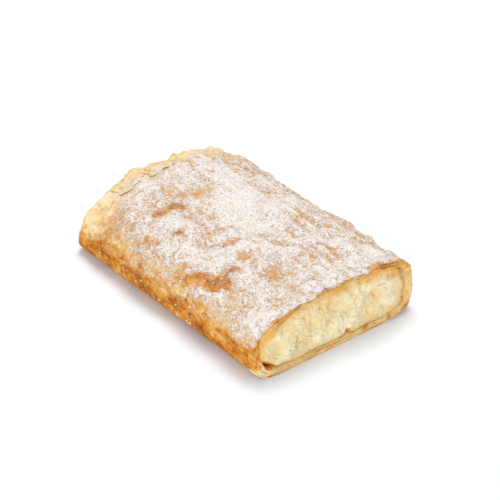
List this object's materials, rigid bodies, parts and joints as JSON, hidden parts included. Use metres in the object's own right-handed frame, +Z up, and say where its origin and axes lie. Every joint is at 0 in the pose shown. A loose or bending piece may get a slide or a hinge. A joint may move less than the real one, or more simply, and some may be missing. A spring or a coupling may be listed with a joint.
{
  "type": "cheese strudel",
  "caption": "Portion of baked cheese strudel: a flattened sleeve of blistered flaky dough under icing sugar, cut across to show its pale curd filling.",
  "frame": {"origin": "on the surface it rests on, under the middle of the whole portion", "axes": "+X along the roll towards the shown cut, +Y across it, +Z up"},
  "size_m": [0.1198, 0.0814, 0.0297],
  "materials": {
    "crust": "baked strudel dough, golden and flaky",
    "curd": "baked curd cheese, moist and lumpy",
    "icing_sugar": "sifted icing sugar, dry and matt"
  },
  "bodies": {
    "root": {"pastry": "crust", "filling": "curd"}
  },
  "joints": []
}
